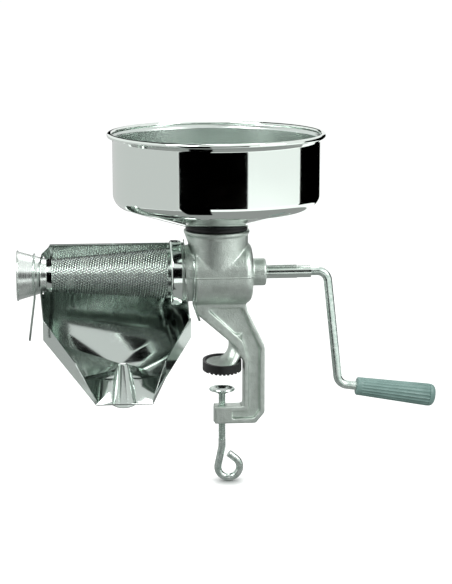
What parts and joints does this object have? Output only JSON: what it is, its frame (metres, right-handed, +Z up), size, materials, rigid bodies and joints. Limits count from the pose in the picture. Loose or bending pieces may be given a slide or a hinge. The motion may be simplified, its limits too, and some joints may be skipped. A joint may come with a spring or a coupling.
{
  "type": "tomato strainer with crank",
  "caption": "Hand cranked strainer for a table edge: a wide bowl feeds a worm in a perforated cone, a sloping tray takes the juice and skins leave at the nose.",
  "frame": {"origin": "middle of the underside of the rubber clamp pad, where it rests on the table top, on the axis of the clamp screw", "axes": "+X along the drive shaft towards the crank, +Y away from the side where the juice runs off, +Z up along the clamp screw"},
  "size_m": [0.4642, 0.2366, 0.3931],
  "materials": {
    "cast_aluminium": "rough casting, silver grey",
    "black_rubber": "black rubber",
    "polished_steel": "mirror polished stainless steel",
    "perforated_steel": "perforated stainless steel",
    "tray_steel": "bright stainless sheet",
    "spring_wire": "bright spring wire",
    "plated_steel": "bright zinc plated",
    "worm_aluminium": "machined casting",
    "white_acetal": "white acetal",
    "green_grip": "grey green moulded plastic"
  },
  "bodies": {
    "frame": {"body_casting": "cast_aluminium", "clamp_pad": "black_rubber", "hopper_bowl": "polished_steel", "hopper_spigot": "polished_steel", "hopper_seal": "black_rubber", "shaft_bush": "white_acetal", "shaft_seal": "black_rubber", "screen_cone": "perforated_steel", "screen_collar": "polished_steel", "screen_band": "polished_steel", "waste_outlet": "polished_steel", "tray_pan": "tray_steel", "tray_nose_plate": "tray_steel", "tray_body_plate": "tray_steel", "nose_clip": "spring_wire", "body_clip": "spring_wire"},
    "crank": {"drive_shaft": "plated_steel", "crank_rod": "plated_steel", "worm": "worm_aluminium", "worm_pin": "plated_steel", "thrust_spring": "spring_wire", "thrust_washer": "white_acetal", "grip_retaining_ring": "spring_wire"},
    "grip": {"crank_grip": "green_grip", "grip_end_cap": "green_grip"},
    "plate": {"pressure_plate": "plated_steel"},
    "screw": {"clamp_screw": "plated_steel"}
  },
  "joints": [
    {"name": "crank_turn", "type": "hinge", "parent": "frame", "child": "crank", "pos_m": [0, 0, 0.109], "axis": [1, 0, 0], "continuous": true},
    {"name": "grip_turn", "type": "hinge", "parent": "crank", "child": "grip", "pos_m": [0.13055, 0, -0.0198], "axis": [0.9893, 0, -0.1461], "continuous": true},
    {"name": "plate_lift", "type": "slide", "parent": "frame", "child": "plate", "axis": [0, 0, 1], "range_m": [-0.0143, 0.0213]},
    {"name": "screw_turn", "type": "hinge", "parent": "plate", "child": "screw", "pos_m": [0, 0, -0.03], "axis": [0, 0, 1], "range_deg": [-4150, 6150]}
  ],
  "couplings": [
    {"joint": "screw_turn", "follows": "plate_lift", "rad_per_m": 5026.5}
  ]
}
